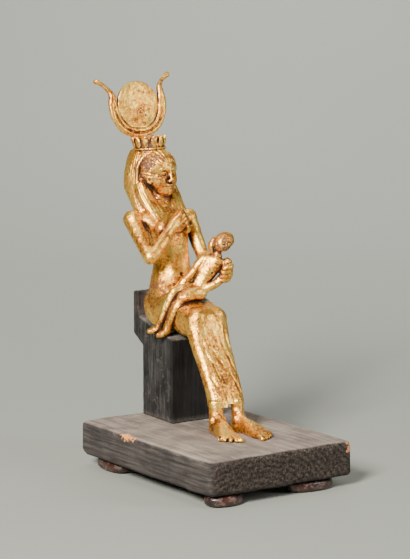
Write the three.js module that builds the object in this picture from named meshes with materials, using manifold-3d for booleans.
// Seated mother goddess with a child on her lap, one gilded bronze casting,
// on a dark wooden throne and a worn wooden board that stands on four low pads.
// Millimetres, +Z up. She faces -Y, and her right side is on -X.
import * as THREE from 'three';
import { mergeVertices } from 'three/addons/utils/BufferGeometryUtils.js';
import Module from 'manifold-3d';

const wasm = await Module();
wasm.setup();

// Driving sizes of the board and its pads
const boardLength = 116;
const boardWidth = 84;
const boardThickness = 17.2;
const boardCornerRadius = 2.5;
const boardEdgeWear = 1.4;
const rearChamferHeight = 4.5;
const rearChamferDepth = 5;
const padHeight = 6;
const padWaviness = 0.09;

// Driving sizes of the throne
const throneFrontWidth = 27.5;
const throneRearWidth = 23.5;
const throneSetback = 4.5;
const throneOffCentre = 4.5;
const seatDepth = 33.5;
const seatFall = 0.225;
const blockDepth = 30;
const backrestRise = 12.5;
const backrestThickness = 4.5;
const backrestLean = 1.5;
const overhangHeight = 22;
const overhangChamfer = 5.5;
const edgeWear = 0.8;

// Driving sizes of the figure
const figureHeight = 177;
const diskRadius = 12.3;
const diskThickness = 2.2;
const hornRadius = 1.05;
const modiusRadius = 8.4;
const modiusHeight = 7.4;
const uraeusCount = 12;

// Small gaps that keep neighbouring solids apart
const seatGap = 0.3;
const standGap = 0.1;

// The figure is drawn in hundredths of its height. Its own origin is on the board's top, below
// the backrest's front face, on its plane of symmetry.
const share = figureHeight / 100;
const seatRearShare = 28.9;
const inShares = (size) => size / share;

const boardTop = padHeight + boardThickness;
const seatRearHeight = seatRearShare * share - seatGap;
const throneBackY = boardLength / 2 - throneSetback;
const backrestY = throneBackY - blockDepth + seatDepth;

const gold = new THREE.MeshStandardMaterial({ color: 0xc9953f, roughness: 0.38, metalness: 0.9 });
const blackWood = new THREE.MeshStandardMaterial({ color: 0x26241f, roughness: 0.8, metalness: 0 });
const greyWood = new THREE.MeshStandardMaterial({ color: 0x4d463e, roughness: 0.85, metalness: 0 });
const darkWax = new THREE.MeshStandardMaterial({ color: 0x35201a, roughness: 0.45, metalness: 0 });

const vector = ([x, y, z]) => new THREE.Vector3(x, y, z);

// Joins and cuts of closed geometries
function solidOf(geometry) {
  const bare = geometry.clone();
  bare.deleteAttribute('normal');
  bare.deleteAttribute('uv');
  const merged = mergeVertices(bare, 1e-4);
  const vertProperties = new Float32Array(merged.attributes.position.array);
  const triVerts = new Uint32Array(merged.index.array);
  return new wasm.Manifold(new wasm.Mesh({ numProp: 3, vertProperties, triVerts }));
}

function geometryOf(solid) {
  const mesh = solid.getMesh();
  const geometry = new THREE.BufferGeometry();
  geometry.setAttribute('position', new THREE.BufferAttribute(new Float32Array(mesh.vertProperties), 3));
  geometry.setIndex(new THREE.BufferAttribute(new Uint32Array(mesh.triVerts), 1));
  geometry.computeVertexNormals();
  return geometry;
}

const joined = (geometries) => geometries.map(solidOf).reduce((whole, piece) => whole.add(piece));

function piece(name, geometry, material) {
  const mesh = new THREE.Mesh(geometry, material);
  mesh.name = name;
  return mesh;
}

// A closed skin over a row of rings with equally many points, with a fan over each end
function skin(rings) {
  const around = rings[0].length;
  const corners = rings.flat();
  const index = [];
  for (let row = 0; row + 1 < rings.length; row += 1) {
    for (let k = 0; k < around; k += 1) {
      const a = row * around + k;
      const b = row * around + (k + 1) % around;
      index.push(a, b, a + around, b, b + around, a + around);
    }
  }
  const middle = (ring) => ring.reduce((sum, p) => sum.add(p), new THREE.Vector3()).divideScalar(around);
  const first = corners.length;
  const last = first + 1;
  const top = (rings.length - 1) * around;
  corners.push(middle(rings[0]), middle(rings.at(-1)));
  for (let k = 0; k < around; k += 1) {
    const next = (k + 1) % around;
    index.push(first, next, k, last, top + k, top + next);
  }
  const volume = index.reduce((sum, _, i) => (i % 3 ? sum : sum + corners[index[i]].dot(
    new THREE.Vector3().crossVectors(corners[index[i + 1]], corners[index[i + 2]]))), 0);
  const geometry = new THREE.BufferGeometry().setFromPoints(corners);
  geometry.setIndex(volume < 0 ? index.reverse() : index);
  return geometry;
}

// A limb, trunk, toe or fold: sections along a smooth path. wide and deep are the half sizes of
// the section along `side` and across it, square above 2 makes it boxier, and ends says how round
// each end is. plane keeps every section square to one direction instead of to the path, and
// carve(angle, t) scales the section's radius, with angle 0 along `side`.
function limb(path, wide, deep, options = {}) {
  const { side = [1, 0, 0], sides = 8, steps = 4, square = 2, ends = [1, 1], plane, carve } = options;
  const route = new THREE.CatmullRomCurve3(path.map(vector));
  const girth = new THREE.CatmullRomCurve3(path.map((_, i) => new THREE.Vector3(wide[i], deep[i], 0)));
  const bow = (value) => Math.sign(value) * Math.abs(value) ** (2 / square);
  const section = (t, shrink, shift) => {
    const along = plane ? vector(plane) : route.getTangent(t).normalize();
    const across = vector(side).addScaledVector(along, -along.dot(vector(side))).normalize();
    const up = new THREE.Vector3().crossVectors(along, across);
    const size = girth.getPoint(t);
    const centre = route.getPoint(t).addScaledVector(along, shift * Math.min(size.x, size.y));
    return Array.from({ length: sides }, (_, k) => {
      const angle = k / sides * 2 * Math.PI;
      const reach = shrink * (carve ? carve(angle, t) : 1);
      return centre.clone()
        .addScaledVector(across, size.x * reach * bow(Math.cos(angle)))
        .addScaledVector(up, size.y * reach * bow(Math.sin(angle)));
    });
  };
  const rings = [];
  if (ends[0] > 0) {
    rings.push(section(0, 0.7, -0.7 * ends[0]));
  }
  for (let i = 0; i <= steps; i += 1) {
    rings.push(section(i / steps, 1, 0));
  }
  if (ends[1] > 0) {
    rings.push(section(1, 0.7, 0.7 * ends[1]));
  }
  return skin(rings);
}

function egg(centre, radii, turn = [0, 0, 0], around = 10, down = 6) {
  const geometry = new THREE.SphereGeometry(1, around, down);
  geometry.rotateX(Math.PI / 2);
  geometry.scale(...radii);
  const pose = new THREE.Matrix4().makeRotationFromEuler(new THREE.Euler(...turn));
  geometry.applyMatrix4(pose.setPosition(...centre));
  return geometry;
}

const hump = (value, middle, halfWidth) => Math.exp(-(((value - middle) / halfWidth) ** 2));

// Trunk from the seat to the neck, leaning back above the waist
function trunk() {
  const spine = [
    [0, -7.2, 26.6], [0, -7.2, 33.2], [0, -7.5, 39.4], [0, -7.3, 44.8],
    [-0.2, -6.2, 51], [-0.5, -5.2, 55], [-0.7, -3.9, 58.2], [-0.8, -2.9, 61],
  ];
  const wide = [6.4, 6.6, 6.5, 5.5, 5.9, 7.1, 8.6, 3.2];
  const deep = [5.4, 5.4, 5.3, 4.6, 4.5, 4.8, 3.9, 2.6];
  const breasts = [[-4.1, 2.5], [3.1, 1.9]].map(([x, full]) => (
    egg([x, -11.4 + full, 54.9], [full, full, full], [0, 0, 0], 9, 6)
  ));
  const neck = limb([[-0.9, -2.8, 59], [-1.1, -2, 63], [-1.2, -1.4, 67]], [2.9, 2.5, 2.6], [2.7, 2.3, 2.4], {
    steps: 2, ends: [0, 0],
  });
  const torso = limb(spine, wide, deep, {
    sides: 14, steps: 8, square: 2.2, ends: [0, 0.5], plane: [0, 0, 1],
  });
  return [torso, neck, ...breasts];
}

// Thighs and shins under one tight dress, with a groove between the legs and a low arch at the hem
function skirt() {
  const front = Math.PI / 2;
  const thighPath = [[0, -3.5, 31.8], [0, -10, 31.9], [0, -16, 31.3], [0, -22, 29.8], [0, -25.6, 29.2]];
  const thighs = limb(thighPath, [6.5, 6.9, 6.9, 6.8, 6.2], [5.2, 5.6, 5.5, 4.9, 4.2], {
    sides: 16, steps: 4, square: 2.8, ends: [0.4, 0.5], plane: [0, -1, 0],
    carve: (angle) => 1 - 0.03 * hump(angle, front, 0.25),
  });
  const shinPath = [
    [0, -24.2, 33.4], [0, -24.4, 31.6], [0, -25, 28.8], [0, -26.7, 24.6], [0, -28.8, 20.4],
    [0, -31, 16.2], [0, -33.2, 12], [0, -34.9, 7.2],
  ];
  const shins = limb(shinPath, [5, 6.4, 6.6, 6.4, 6.1, 5.8, 5.6, 5.5], [2, 3.3, 3.5, 3, 2.9, 2.9, 3, 3.1], {
    sides: 22, steps: 6, square: 2.7, ends: [0.3, 0], plane: [0, 0, -1],
    carve: (angle, t) => (
      1 - 0.1 * Math.min(1, 3 * t) * (hump(angle, front, 0.22) + hump(angle, 3 * front, 0.22))
    ),
  });
  const arch = egg([-0.2, -34.9, 6], [2.1, 6, 2.2]);
  return [thighs, geometryOf(solidOf(shins).subtract(solidOf(arch)))];
}

// A bare foot with its ankle and five toes. splay turns it outwards, hand is -1 for her right
function foot(heel, hand, splay, length) {
  const ahead = (along, across, up) => [
    heel[0] + hand * (across * Math.cos(splay) + along * Math.sin(splay)),
    heel[1] - along * Math.cos(splay) + across * Math.sin(splay),
    up,
  ];
  const sole = limb(
    [
      ahead(0, 0, 1.5), ahead(length * 0.35, 0, 1.7),
      ahead(length * 0.64, 0.3, 0.9), ahead(length * 0.82, 0.4, 0.6),
    ],
    [1.8, 2.2, 3, 2.9],
    [2.1, 2.3, 1.4, 0.8],
    { sides: 10, steps: 4, square: 2.4, ends: [0.9, 0.3] },
  );
  const shank = limb(
    [ahead(0.6, 0, 10.5), ahead(0.9, 0, 7), ahead(1.3, 0, 3), ahead(1.8, 0, 1.4)],
    [1.8, 1.7, 1.9, 2.1],
    [1.9, 1.8, 2.3, 2.4],
    { steps: 3, ends: [0, 0], plane: [0, 0, -1] },
  );
  const toes = [0, 1, 2, 3, 4].map((k) => {
    const across = -2 + k * 1.22;
    const reach = length - 0.3 * k - 0.14 * k * k;
    const thick = k === 0 ? 0.78 : 0.66 - 0.03 * k;
    const path = [ahead(length * 0.76, across, 0.8), ahead(reach - thick, across * 1.05, 0.5)];
    return limb(path, [thick, thick], [thick * 1.2, thick], { sides: 6, steps: 1, ends: [0, 1] });
  });
  return [sole, shank, ...toes];
}

// Upper arm and forearm, thick and even, with the elbow bent
function arm(shoulder, elbow, wrist) {
  const middle = (a, b, bulge) => a.map((value, i) => (value + b[i]) / 2 + bulge[i]);
  return [
    limb([shoulder, middle(shoulder, elbow, [0, 0.2, 0.2]), elbow], [2.35, 2.1, 1.9], [2.4, 2.1, 1.9], {
      side: [0, 1, 0],
    }),
    limb([elbow, middle(elbow, wrist, [0, -0.2, -0.2]), wrist], [2, 2, 1.45], [1.9, 1.8, 1.3], {
      side: [0, 0, 1],
    }),
  ];
}

function finger(path, thick) {
  return limb(path, path.map(() => thick), path.map(() => thick), { side: [0, 0.3, 1], sides: 5, steps: 2 });
}

// Her right hand is closed on her left breast, the fingers bent down over the thumb
function rightHand(wrist) {
  const [x, y, z] = wrist;
  const palmPath = [wrist, [x + 1.6, y + 0.3, z + 1.3], [x + 4.4, y + 0.8, z + 2.9]];
  const palm = limb(palmPath, [1.4, 2.3, 2.2], [1.2, 1.7, 1.7], { side: [-0.6, 0, 0.8], steps: 2 });
  const fingers = [0, 1, 2, 3].map((k) => {
    const start = [x + 3 + 0.6 * k, y - 0.2, z + 4.2 - 0.95 * k];
    const knuckle = [start[0] + 2.1, y, start[2] + 0.3];
    const tip = [knuckle[0] + 0.3, y + 1.5, knuckle[2] - 1.2];
    return finger([start, knuckle, tip], 0.75);
  });
  const thumbPath = [[x + 1.6, y + 0.1, z + 0.4], [x + 3.6, y - 0.4, z + 0.4], [x + 5.2, y, z + 1]];
  return [palm, ...fingers, finger(thumbPath, 0.65)];
}

// Her left hand holds the child's back, the fingers curled round its side
function leftHand(wrist) {
  const [x, y, z] = wrist;
  const palmPath = [wrist, [x - 0.2, y - 2, z - 0.3], [x - 0.9, y - 3.6, z - 0.8]];
  const palm = limb(palmPath, [1.3, 2.1, 2.1], [1.1, 0.9, 0.9], { side: [0, 0, 1], steps: 2 });
  const fingers = [0, 1, 2, 3].map((k) => {
    const start = [x - 0.7, y - 3, z + 1.3 - 1.2 * k];
    const knuckle = [x - 1.3, y - 4.9 + 0.45 * k, z + 1 - 1.25 * k];
    const tip = [x - 3, y - 4.9 + 0.6 * k, z + 0.6 - 1.2 * k];
    return finger([start, knuckle, tip], 0.72);
  });
  return [palm, ...fingers];
}

// Head and long three-part hair, drawn upright round the head's own centre
const headPlace = [-1.35, 1.3, 70.2];
const headRoll = -2;
const headTurn = 12;

function head() {
  const skull = egg([0, -2.2, 0.9], [5.7, 5.8, 6.1], [0, 0, 0], 12, 8);
  const jaw = egg([0, -5, -3], [3.3, 2.9, 2.9], [0.25, 0, 0]);
  const nose = limb([[0, -7.4, 1.4], [0, -8.2, 0.1], [0, -8.7, -0.8]], [0.45, 0.6, 0.85], [0.5, 0.5, 0.45], {
    sides: 6, steps: 2,
  });
  const browPath = [[-2.9, -6.5, 1.8], [0, -7.8, 2.2], [2.9, -6.5, 1.8]];
  const brow = limb(browPath, [0.35, 0.4, 0.35], [0.35, 0.5, 0.35], { side: [0, 0, 1], sides: 5, steps: 4 });
  const eyes = [-1, 1].map((hand) => (
    egg([hand * 1.95, -7, 0.8], [1, 0.5, 0.44], [0, 0, hand * 0.35], 6, 4)
  ));
  const lips = [0.35, -0.3].map((drop) => egg([0, -7.65, -2.45 + drop], [1.2, 0.42, 0.38], [0, 0, 0], 6, 4));
  const ears = [-1, 1].map((hand) => (
    egg([hand * 5.1, -4.4, -0.6], [0.5, 0.9, 1.3], [0, 0, -hand * 0.5], 6, 4)
  ));
  return [skull, jaw, nose, brow, ...eyes, ...lips, ...ears];
}

// The hair lies behind the head as one thick fall, and its front edge is a thin roll over the brow
function hair() {
  const strands = 22;
  const flute = (angle) => 1 + 0.02 * Math.cos(strands / 2 * angle);
  const fall = limb(
    [
      [0, 1.4, 6.8], [0, 1.4, 4.6], [0, 1.6, 2.4], [0, 1.8, -0.6], [0, 1.7, -4], [0.2, 0.5, -7.6],
      [0.4, -1.6, -11.4], [0.5, -2.6, -13.4],
    ],
    [5, 5.8, 6.4, 7, 7, 7, 7.3, 6.8],
    [4.8, 5.3, 5.6, 5.7, 5.7, 5, 4.4, 3.8],
    { sides: strands, steps: 7, square: 2.15, ends: [0.3, 0], plane: [0, 0, -1], carve: flute },
  );
  const side = [[6.6, -0.9, -4.2], [6.7, -1, -1], [6.3, -1.2, 2.6], [4.8, -2, 5.2], [2.4, -2.8, 6.5]];
  const edgePath = [...side, [0, -3.1, 6.9], ...side.map(([x, y, z]) => [-x, y, z]).reverse()];
  const edge = limb(edgePath, edgePath.map(() => 0.45), edgePath.map(() => 0.45), { sides: 5, steps: 14 });
  const lappets = [-1, 1].map((hand) => limb(
    [[hand * 5.6, -1.2, -3], [hand * 5.3, -3.2, -6.4], [hand * 4.3, -6.4, -10.4], [hand * 3.5, -8.5, -13.8]],
    [1.6, 2.4, 2.8, 2.6],
    [1.8, 1.7, 1.1, 0.8],
    { sides: 10, steps: 4, square: 2.6, ends: [0, 0.4], carve: (angle) => 1 + 0.04 * Math.cos(5 * angle) },
  ));
  return [fall, edge, ...lappets];
}

// Crown: a short drum ringed by worn cobras, then the horns that cradle the disk. The drum is sunk
// a little into the hair, and the disk stands on the drum's rear half and leans back.
const drumPlace = [-1.7, 1.3, 76.6];
const drumRoot = 1;
const drumLean = 4;
const crownLean = 8;
const drumHeight = inShares(modiusHeight);
const diskPlace = [[-0.187, 0], [0.62, 0], [1.31, drumHeight]].map(([part, rise], axis) => (
  drumPlace[axis] + rise + part * inShares(diskRadius)
));

function drum() {
  const drumRadius = inShares(modiusRadius);
  const pointsPerCobra = 3;
  const around = pointsPerCobra * uraeusCount;
  const profile = [
    [-drumRoot, 0.92, 0], [0.25 * drumHeight, 0.9, 0], [0.42 * drumHeight, 0.92, 0.08],
    [0.85 * drumHeight, 0.93, 0.09], [drumHeight, 0.9, 0.02],
  ];
  return skin(profile.map(([up, reach, lump]) => Array.from({ length: around }, (_, k) => {
    const angle = k / around * 2 * Math.PI;
    const out = drumRadius * (reach + lump * Math.cos(uraeusCount * angle));
    return new THREE.Vector3(out * Math.cos(angle), out * Math.sin(angle), up);
  })));
}

// The disk's middle is the unit's own origin, and the horns are drawn as shares of its radius
function hornsAndDisk() {
  const radius = inShares(diskRadius);
  const half = inShares(diskThickness) / 2;
  const rod = inShares(hornRadius);
  const disk = new THREE.LatheGeometry([
    [0, -half], [radius * 0.93, -half], [radius, -half * 0.4], [radius, half * 0.4],
    [radius * 0.93, half * 0.9], [radius * 0.5, half * 1.5], [0, half * 1.7],
  ].map(([out, up]) => new THREE.Vector2(out, up)), 24);
  disk.rotateX(Math.PI);
  const cradle = [[0.66, -1.02], [1.1, -0.52], [1.22, 0.05]];
  const rightHorn = [...cradle, [1.22, 0.4], [1.34, 0.62], [1.58, 0.88], [1.79, 1.03]];
  const leftHorn = [...cradle, [1.2, 0.5], [1.21, 0.78], [1.42, 1.04], [1.74, 1.25]];
  const sweep = [0, 0, 0, 0, 0.2, 0.5, 1, 1.6];
  const horns = [[-1, rightHorn], [1, leftHorn]].map(([hand, course]) => {
    const path = [[-0.2, -1.18], ...course].map(([out, up], i) => (
      [hand * out * radius, sweep[i], up * radius]
    ));
    const thick = [1.5, 1.5, 1.5, 1.4, 1.3, 1.1, 1, 1.15].map((scale) => scale * rod);
    const broad = [2.4, 2.4, 2.4, 2.3, 1.8, 1.2, 1, 1.15].map((scale) => scale * rod);
    return limb(path, thick, broad, { side: [0, -1, 0], sides: 6, steps: 9 });
  });
  return [disk, ...horns];
}

// The child lies across her lap with its head by her left arm, legs hanging over her right thigh
function child() {
  const across = [0.75, -0.65, -0.15];
  const body = limb(
    [[1.4, -18.8, 37.7], [2.5, -19.3, 40.9], [4.2, -20.4, 44.2], [5.6, -21.3, 46.6], [6.2, -21.4, 47.8]],
    [2.5, 2.4, 2.9, 3.3, 1.5],
    [2.2, 1.9, 1.9, 1.7, 1.1],
    { side: across, sides: 9, steps: 4 },
  );
  const neck = limb([[6, -21.2, 47.4], [6.9, -21.6, 50]], [1.1, 1.1], [1.1, 1.1], {
    sides: 6, steps: 1, ends: [0, 0],
  });
  const headEgg = egg([7.9, -22.4, 51.9], [3.2, 2.4, 2.5], [0, -0.5, 0], 9, 6);
  const lockPath = [[5.7, -20.9, 52.4], [4.8, -20.7, 50.6], [4.9, -21, 48.6]];
  const lock = limb(lockPath, [0.9, 1, 0.6], [0.9, 1, 0.6], { sides: 5, steps: 2 });
  const limbs = [
    [[[3, -19, 46.8], [0.3, -18, 43.2], [-4, -16, 38.6]], [1.35, 1.2, 0.9]],
    [[[8.3, -23.6, 46], [7.6, -23.5, 43], [5.4, -22.6, 40.3], [1, -20.8, 38]], [1.3, 1.25, 1.15, 0.9]],
    [[[1.2, -18, 38.2], [-2, -17.2, 38.4], [-5.2, -16.5, 37.6]], [2.1, 1.9, 1.6]],
    [[[1.4, -20, 37.4], [-1.4, -20, 37.2], [-4.2, -19.4, 36.2]], [2.1, 1.9, 1.6]],
    [[[-5.2, -16.5, 37.6], [-7, -15.4, 32.8], [-9, -14, 27.8]], [1.6, 1.65, 1.1]],
    [[[-4.2, -19.4, 36.2], [-6.4, -18, 31.6], [-8.1, -16.7, 27.2]], [1.6, 1.65, 1.1]],
    [[[-8.9, -14, 27.6], [-10.7, -12.2, 26.4]], [1.1, 0.8]],
    [[[-8, -16.7, 27], [-9.6, -15.4, 25.6]], [1.1, 0.8]],
  ].map(([path, thick]) => limb(path, thick, thick, { side: [0, 1, 0.2], sides: 5, steps: path.length }));
  return [body, neck, headEgg, lock, ...limbs];
}

// Side outline of the throne in the Y-Z plane, y from the backrest's front face, z from the board
const seatHeight = (y) => seatRearHeight + seatFall * y;

function throneGeometry() {
  const rearY = blockDepth - seatDepth;
  const backTop = seatRearHeight + backrestRise;
  const backRearY = backrestLean + backrestThickness;
  const outline = new THREE.Shape([
    [-seatDepth, standGap], [-seatDepth, seatHeight(-seatDepth)], [0, seatRearHeight],
    [backrestLean, backTop], [backRearY - edgeWear, backTop], [backRearY, backTop - edgeWear],
    [backRearY, backTop - overhangHeight], [rearY, backTop - overhangHeight - overhangChamfer],
    [rearY, standGap],
  ].map(([y, z]) => new THREE.Vector2(y, z)));
  const block = new THREE.ExtrudeGeometry(outline, { depth: 1, bevelEnabled: false });
  block.translate(0, 0, -0.5);
  const corners = block.attributes.position;
  for (let i = 0; i < corners.count; i += 1) {
    const y = corners.getX(i);
    const width = throneFrontWidth + (throneRearWidth - throneFrontWidth) * (y + seatDepth) / blockDepth;
    corners.setXYZ(i, corners.getZ(i) * width, y, corners.getY(i));
  }
  return block;
}

// The room that the seat, the backrest and the board take from the figure, grown by the gap
function seatRoom() {
  const wide = throneFrontWidth + throneRearWidth;
  const backTop = seatRearHeight + backrestRise;
  const beyond = backrestLean + backrestThickness + figureHeight;
  const outline = new THREE.Shape([
    [-seatDepth - seatGap, seatHeight(-seatDepth) + seatGap], [-seatGap, seatRearHeight + seatGap],
    [backrestLean - seatGap, backTop + seatGap], [beyond, backTop + seatGap], [beyond, -figureHeight],
    [-figureHeight, -figureHeight], [-figureHeight, standGap], [-seatDepth - seatGap, standGap],
  ].map(([y, z]) => new THREE.Vector2(y, z)));
  const room = new THREE.ExtrudeGeometry(outline, { depth: 2 * wide, bevelEnabled: false });
  room.translate(0, 0, -wide);
  room.rotateY(Math.PI / 2);
  room.rotateX(Math.PI / 2);
  return room;
}

function figureGeometry() {
  const rightWrist = [-3.1, -12.1, 55.4];
  const leftWrist = [9.7, -20.8, 44];
  const body = joined([
    ...trunk(), ...skirt(),
    ...foot([-4, -35.2], -1, 0.25, 14.9),
    ...foot([2.6, -36.2], 1, 0.02, 15.6),
    ...arm([-10.9, -3, 57.6], [-11.6, -13.7, 47.8], rightWrist), ...rightHand(rightWrist),
    ...arm([8.3, -4, 57.2], [9.4, -9.8, 46.4], leftWrist), ...leftHand(leftWrist),
    ...child(),
  ]);
  const headSolid = joined([...head(), ...hair()]);
  const plate = joined(hornsAndDisk());
  const upper = headSolid.rotate([0, headRoll, headTurn]).translate(headPlace);
  const top = solidOf(drum()).rotate([-drumLean, headRoll, 0]).translate(drumPlace);
  const horns = plate.rotate([-crownLean, 0, 0]).translate(diskPlace);
  return geometryOf(body.add(upper).add(top).add(horns));
}

// The board: worn round edges, and a chamfer under its rear edge
function boardGeometry() {
  const halfX = boardWidth / 2 - boardEdgeWear;
  const halfY = boardLength / 2 - boardEdgeWear;
  const r = boardCornerRadius;
  const plan = new THREE.Shape();
  plan.moveTo(-halfX + r, -halfY);
  plan.lineTo(halfX - r, -halfY);
  plan.absarc(halfX - r, -halfY + r, r, -Math.PI / 2, 0);
  plan.lineTo(halfX, halfY - r);
  plan.absarc(halfX - r, halfY - r, r, 0, Math.PI / 2);
  plan.lineTo(-halfX + r, halfY);
  plan.absarc(-halfX + r, halfY - r, r, Math.PI / 2, Math.PI);
  plan.lineTo(-halfX, -halfY + r);
  plan.absarc(-halfX + r, -halfY + r, r, Math.PI, Math.PI * 1.5);
  const slab = new THREE.ExtrudeGeometry(plan, {
    depth: boardThickness - 2 * boardEdgeWear,
    bevelThickness: boardEdgeWear, bevelSize: boardEdgeWear, bevelSegments: 2, curveSegments: 3,
  });
  slab.translate(0, 0, padHeight + boardEdgeWear);
  const wedge = new THREE.ExtrudeGeometry(new THREE.Shape([
    new THREE.Vector2(boardLength / 2 - rearChamferDepth, padHeight - 1),
    new THREE.Vector2(boardLength / 2 - rearChamferDepth, padHeight),
    new THREE.Vector2(boardLength / 2, padHeight + rearChamferHeight),
    new THREE.Vector2(boardLength / 2 + 1, padHeight + rearChamferHeight),
    new THREE.Vector2(boardLength / 2 + 1, padHeight - 1),
  ]), { depth: boardWidth + 2, bevelEnabled: false });
  wedge.translate(0, 0, -boardWidth / 2 - 1);
  wedge.rotateY(Math.PI / 2);
  wedge.rotateX(Math.PI / 2);
  return geometryOf(solidOf(slab).subtract(solidOf(wedge)));
}

// An uneven flattened lump with a flat top and a flat underside
function padGeometry(halfX, halfY, phase) {
  const height = padHeight - standGap;
  const rings = [[0, 0.86], [0.4, 1], [1, 0.9]].map(([up, reach]) => (
    Array.from({ length: 14 }, (_, k) => {
      const angle = k / 14 * 2 * Math.PI;
      const wave = reach * (1 + padWaviness * (Math.sin(3 * angle + phase) + Math.sin(2 * angle - phase)));
      return new THREE.Vector3(halfX * wave * Math.cos(angle), halfY * wave * Math.sin(angle), up * height);
    })
  ));
  return skin(rings);
}

const model = new THREE.Group();

const throne = piece('throne', throneGeometry(), blackWood);
const seated = new THREE.Group();
seated.position.set(throneOffCentre, backrestY, boardTop);
const casting = solidOf(figureGeometry().scale(share, share, share)).subtract(solidOf(seatRoom()));
const figure = piece('isis_and_horus', geometryOf(casting), gold);
seated.add(figure, throne);

const board = piece('base_board', boardGeometry(), greyWood);
model.add(seated, board);

// Pads by name: which corner, how far their middle lies in from the board's two edges, half sizes
const pads = [
  ['foot_pad_front_right', -1, -1, 12, 8.5, 10, 6.5, 0.4],
  ['foot_pad_front_left', 1, -1, 21, 8, 14, 6, 2.1],
  ['foot_pad_rear_right', -1, 1, 8, 20, 6, 12.5, 3.3],
  ['foot_pad_rear_left', 1, 1, 10, 19, 8, 11, 5.2],
];
for (const [name, sideX, sideY, insetX, insetY, halfX, halfY, phase] of pads) {
  const pad = piece(name, padGeometry(halfX, halfY, phase), darkWax);
  pad.position.set(sideX * (boardWidth / 2 - insetX), sideY * (boardLength / 2 - insetY), 0);
  model.add(pad);
}

// The origin is the middle of the whole object's underside
const whole = new THREE.Box3().setFromObject(model);
const middle = whole.getCenter(new THREE.Vector3());
model.position.set(-middle.x, -middle.y, -whole.min.z);

const group = new THREE.Group();
group.name = 'isis_and_horus_figure';
group.add(model);

export default group;
